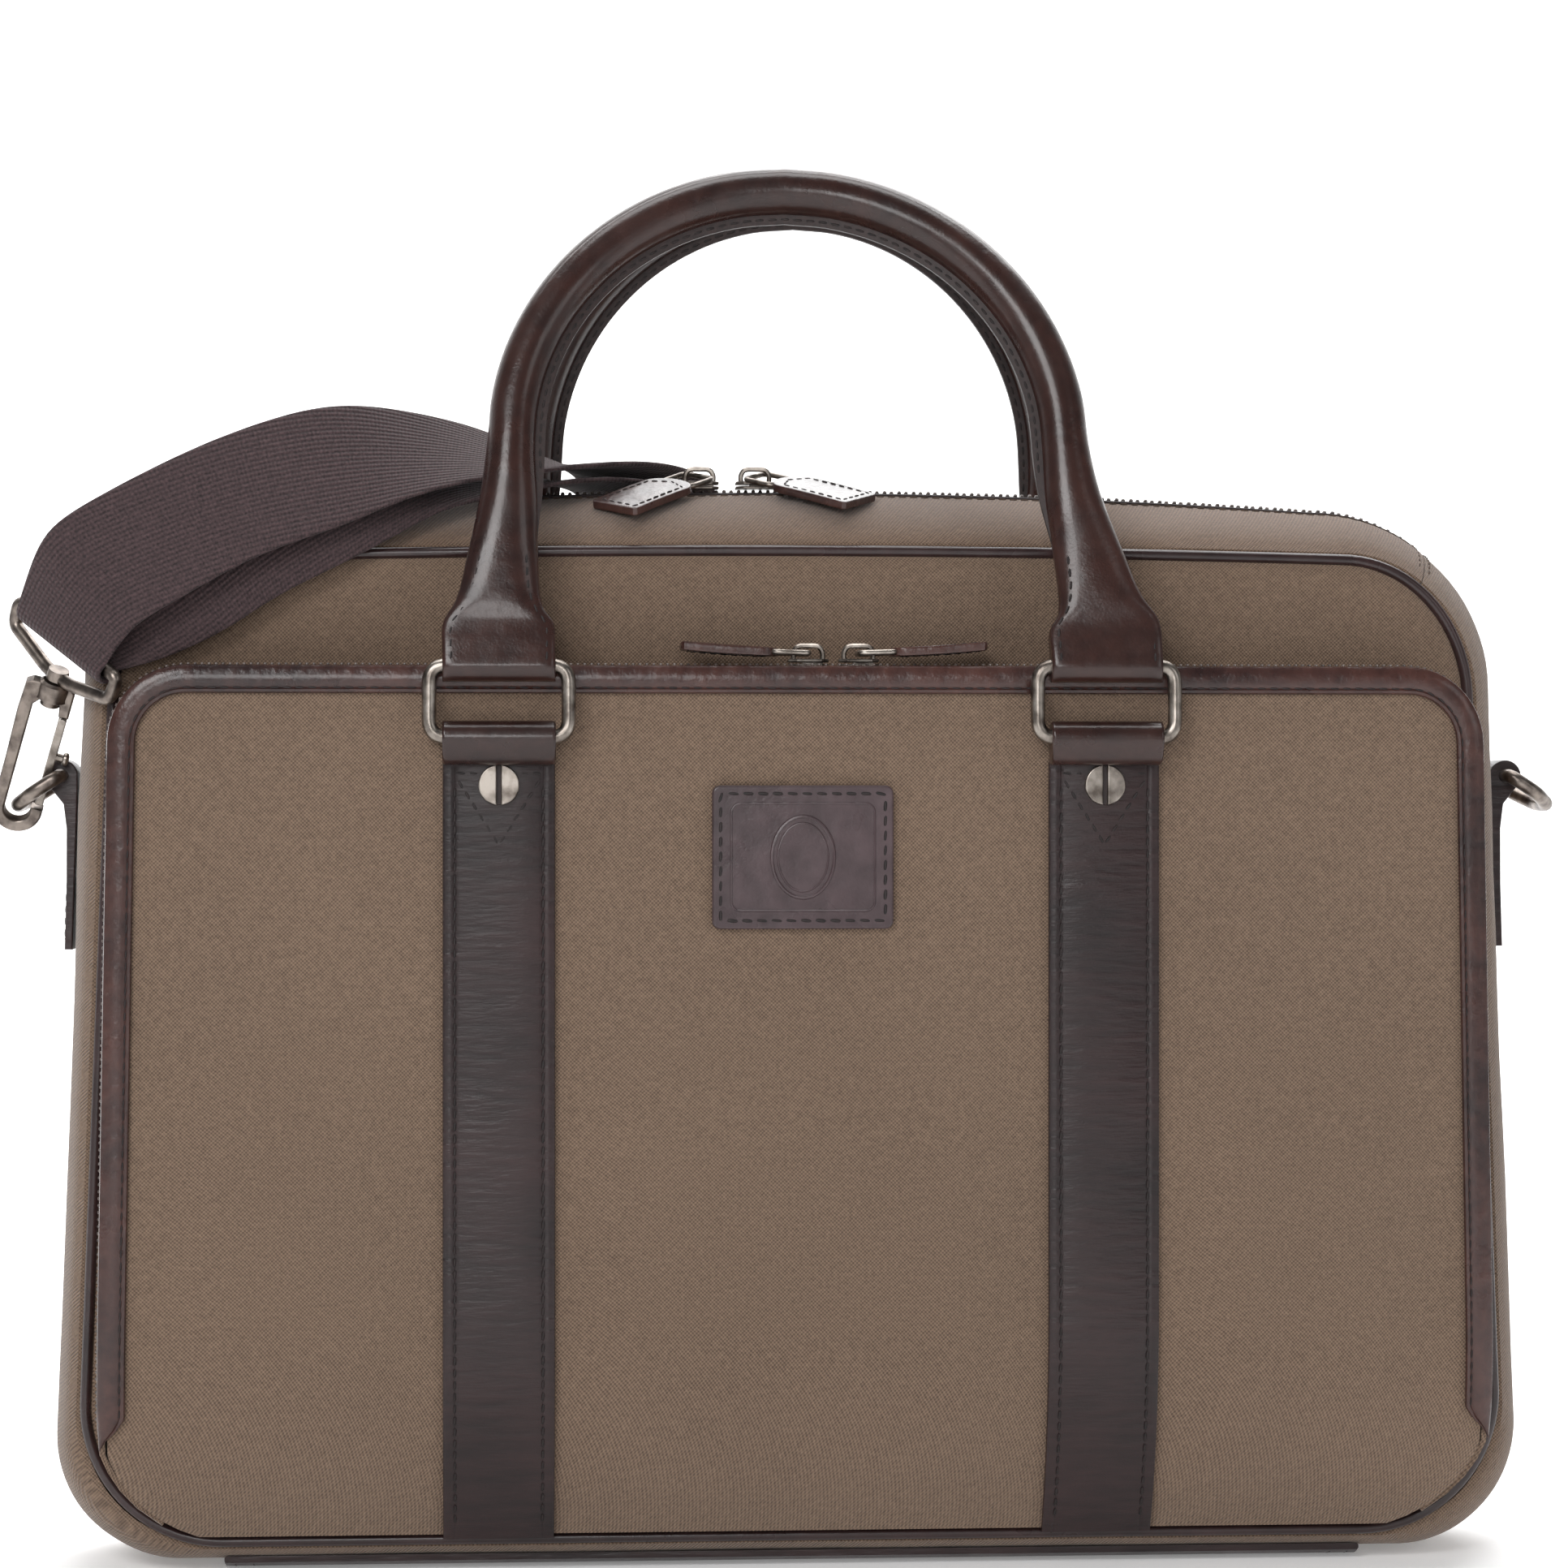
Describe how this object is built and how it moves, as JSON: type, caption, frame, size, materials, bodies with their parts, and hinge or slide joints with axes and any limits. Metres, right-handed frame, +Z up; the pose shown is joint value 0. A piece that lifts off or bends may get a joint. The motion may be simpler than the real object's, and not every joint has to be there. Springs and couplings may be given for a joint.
{
  "type": "briefcase satchel",
  "caption": "Canvas and leather briefcase satchel with rolled handles, a zipped front pocket and a draped shoulder strap.",
  "frame": {"origin": "middle of the underside of the base leather, on the surface that the bag stands on", "axes": "+X along the bag's length, to the right as its front is seen; +Y from front to back; +Z up"},
  "size_m": [0.4466, 0.1411, 0.3973],
  "materials": {
    "canvas": "coarse twill, matt",
    "leather": "waxed, semi-gloss",
    "nickel": "antique nickel",
    "gunmetal": "satin gunmetal",
    "zip_tape": "woven tape, dark",
    "board": "matt",
    "webbing": "ribbed webbing"
  },
  "bodies": {
    "bag": {"main_front_panel": "canvas", "main_back_panel": "canvas", "body_gusset": "canvas", "top_gusset_front": "canvas", "top_gusset_back": "canvas", "main_zip_chain": "zip_tape", "piping_front": "leather", "piping_back": "leather", "base_leather": "leather", "base_board": "board", "inner_divider": "canvas", "side_tab_left": "leather", "side_tab_right": "leather", "back_strip_left": "leather", "back_strip_right": "leather", "back_loop_left": "leather", "back_loop_right": "leather", "back_screw_left": "nickel", "back_screw_right": "nickel", "front_strip_lower_left": "leather", "front_strip_lower_right": "leather", "pocket_lower_front": "canvas", "pocket_gusset": "canvas", "pocket_zip_chain": "zip_tape", "shoulder_webbing": "webbing", "left_hook_eye": "gunmetal", "right_hook_eye": "gunmetal", "strap_adjuster": "gunmetal"},
    "pocket_flap": {"pocket_panel": "canvas", "pocket_binding": "leather", "front_strip_left": "leather", "front_strip_right": "leather", "front_loop_left": "leather", "front_loop_right": "leather", "front_screw_left": "nickel", "front_screw_right": "nickel", "badge": "leather"},
    "front_rings": {"front_ring_left": "nickel", "front_ring_right": "nickel"},
    "front_handle": {"front_handle": "leather"},
    "back_rings": {"back_ring_left": "nickel", "back_ring_right": "nickel"},
    "back_handle": {"back_handle": "leather"},
    "left_hook": {"left_hook": "gunmetal"},
    "left_gate": {"left_hook_gate": "gunmetal"},
    "right_hook": {"right_hook": "gunmetal"},
    "right_gate": {"right_hook_gate": "gunmetal"},
    "main_slider_left": {"main_slider_left": "nickel"},
    "main_slider_right": {"main_slider_right": "nickel"},
    "main_pull_left": {"main_pull_left": "leather"},
    "main_pull_right": {"main_pull_right": "leather"},
    "pocket_slider_left": {"pocket_slider_left": "nickel"},
    "pocket_slider_right": {"pocket_slider_right": "nickel"},
    "pocket_pull_left": {"pocket_pull_left": "leather"},
    "pocket_pull_right": {"pocket_pull_right": "leather"},
    "d_ring_left": {"d_ring_left": "gunmetal"},
    "d_ring_right": {"d_ring_right": "gunmetal"}
  },
  "joints": [
    {"name": "pocket_fold", "type": "hinge", "parent": "bag", "child": "pocket_flap", "pos_m": [0, -0.052, 0.044], "axis": [1, 0, 0], "range_deg": [0, 70]},
    {"name": "front_rings_swing", "type": "hinge", "parent": "pocket_flap", "child": "front_rings", "pos_m": [0, -0.058, 0.2314], "axis": [1, 0, 0], "range_deg": [0, 160]},
    {"name": "front_handle_swing", "type": "hinge", "parent": "front_rings", "child": "front_handle", "pos_m": [0, -0.0574, 0.2511], "axis": [1, 0, 0], "range_deg": [0, 30]},
    {"name": "back_rings_swing", "type": "hinge", "parent": "bag", "child": "back_rings", "pos_m": [0, 0.0391, 0.2314], "axis": [-1, 0, 0], "range_deg": [0, 140]},
    {"name": "back_handle_swing", "type": "hinge", "parent": "back_rings", "child": "back_handle", "pos_m": [0, 0.0385, 0.2511], "axis": [-1, 0, 0], "range_deg": [0, 25]},
    {"name": "main_slider_left_run", "type": "slide", "parent": "bag", "child": "main_slider_left", "axis": [-1, 0, 0], "range_m": [0, 0.003]},
    {"name": "main_slider_right_run", "type": "slide", "parent": "bag", "child": "main_slider_right", "axis": [1, 0, 0], "range_m": [0, 0.105]},
    {"name": "main_pull_left_flip", "type": "hinge", "parent": "main_slider_left", "child": "main_pull_left", "pos_m": [-0.026, 0, 0.3069], "axis": [-0.7132, 0.6784, 0.1764], "range_deg": [0, 85]},
    {"name": "main_pull_right_flip", "type": "hinge", "parent": "main_slider_right", "child": "main_pull_right", "pos_m": [-0.01, 0, 0.3069], "axis": [-0.6113, -0.7659, -0.1991], "range_deg": [0, 85]},
    {"name": "pocket_slider_left_run", "type": "slide", "parent": "bag", "child": "pocket_slider_left", "axis": [-1, 0, 0], "range_m": [0, 0.105]},
    {"name": "pocket_slider_right_run", "type": "slide", "parent": "bag", "child": "pocket_slider_right", "axis": [1, 0, 0], "range_m": [0, 0.13]},
    {"name": "pocket_pull_left_flip", "type": "hinge", "parent": "pocket_slider_left", "child": "pocket_pull_left", "pos_m": [0.002, -0.0444, 0.2549], "axis": [0, 1, 0], "range_deg": [0, 85]},
    {"name": "pocket_pull_right_flip", "type": "hinge", "parent": "pocket_slider_right", "child": "pocket_pull_right", "pos_m": [0.016, -0.0444, 0.2549], "axis": [0, -1, 0], "range_deg": [0, 85]},
    {"name": "d_ring_left_swing", "type": "hinge", "parent": "bag", "child": "d_ring_left", "pos_m": [-0.2063, 0, 0.221], "axis": [0, 1, 0], "range_deg": [0, 3]},
    {"name": "d_ring_right_swing", "type": "hinge", "parent": "bag", "child": "d_ring_right", "pos_m": [0.2063, 0, 0.221], "axis": [0, -1, 0], "range_deg": [0, 110]},
    {"name": "left_hook_swivel", "type": "hinge", "parent": "bag", "child": "left_hook", "pos_m": [-0.2025, -0.0296, 0.2588], "axis": [0.2832, -0.4173, 0.8635], "range_deg": [0, 4]},
    {"name": "left_gate_press", "type": "hinge", "parent": "left_hook", "child": "left_gate", "pos_m": [-0.20488, -0.01902, 0.2369], "axis": [0, 0.9004, 0.4351], "range_deg": [0, 3], "stiffness_Nm_per_rad": 0.02, "springref_deg": -17.19},
    {"name": "right_hook_swivel", "type": "hinge", "parent": "bag", "child": "right_hook", "pos_m": [0.141, 0.0545, 0.0054], "axis": [1, 0, 0], "range_deg": [0, 170]},
    {"name": "right_gate_press", "type": "hinge", "parent": "right_hook", "child": "right_gate", "pos_m": [0.165, 0.0499, 0.0054], "axis": [0, 0, 1], "range_deg": [0, 12], "stiffness_Nm_per_rad": 0.02, "springref_deg": -17.19}
  ]
}
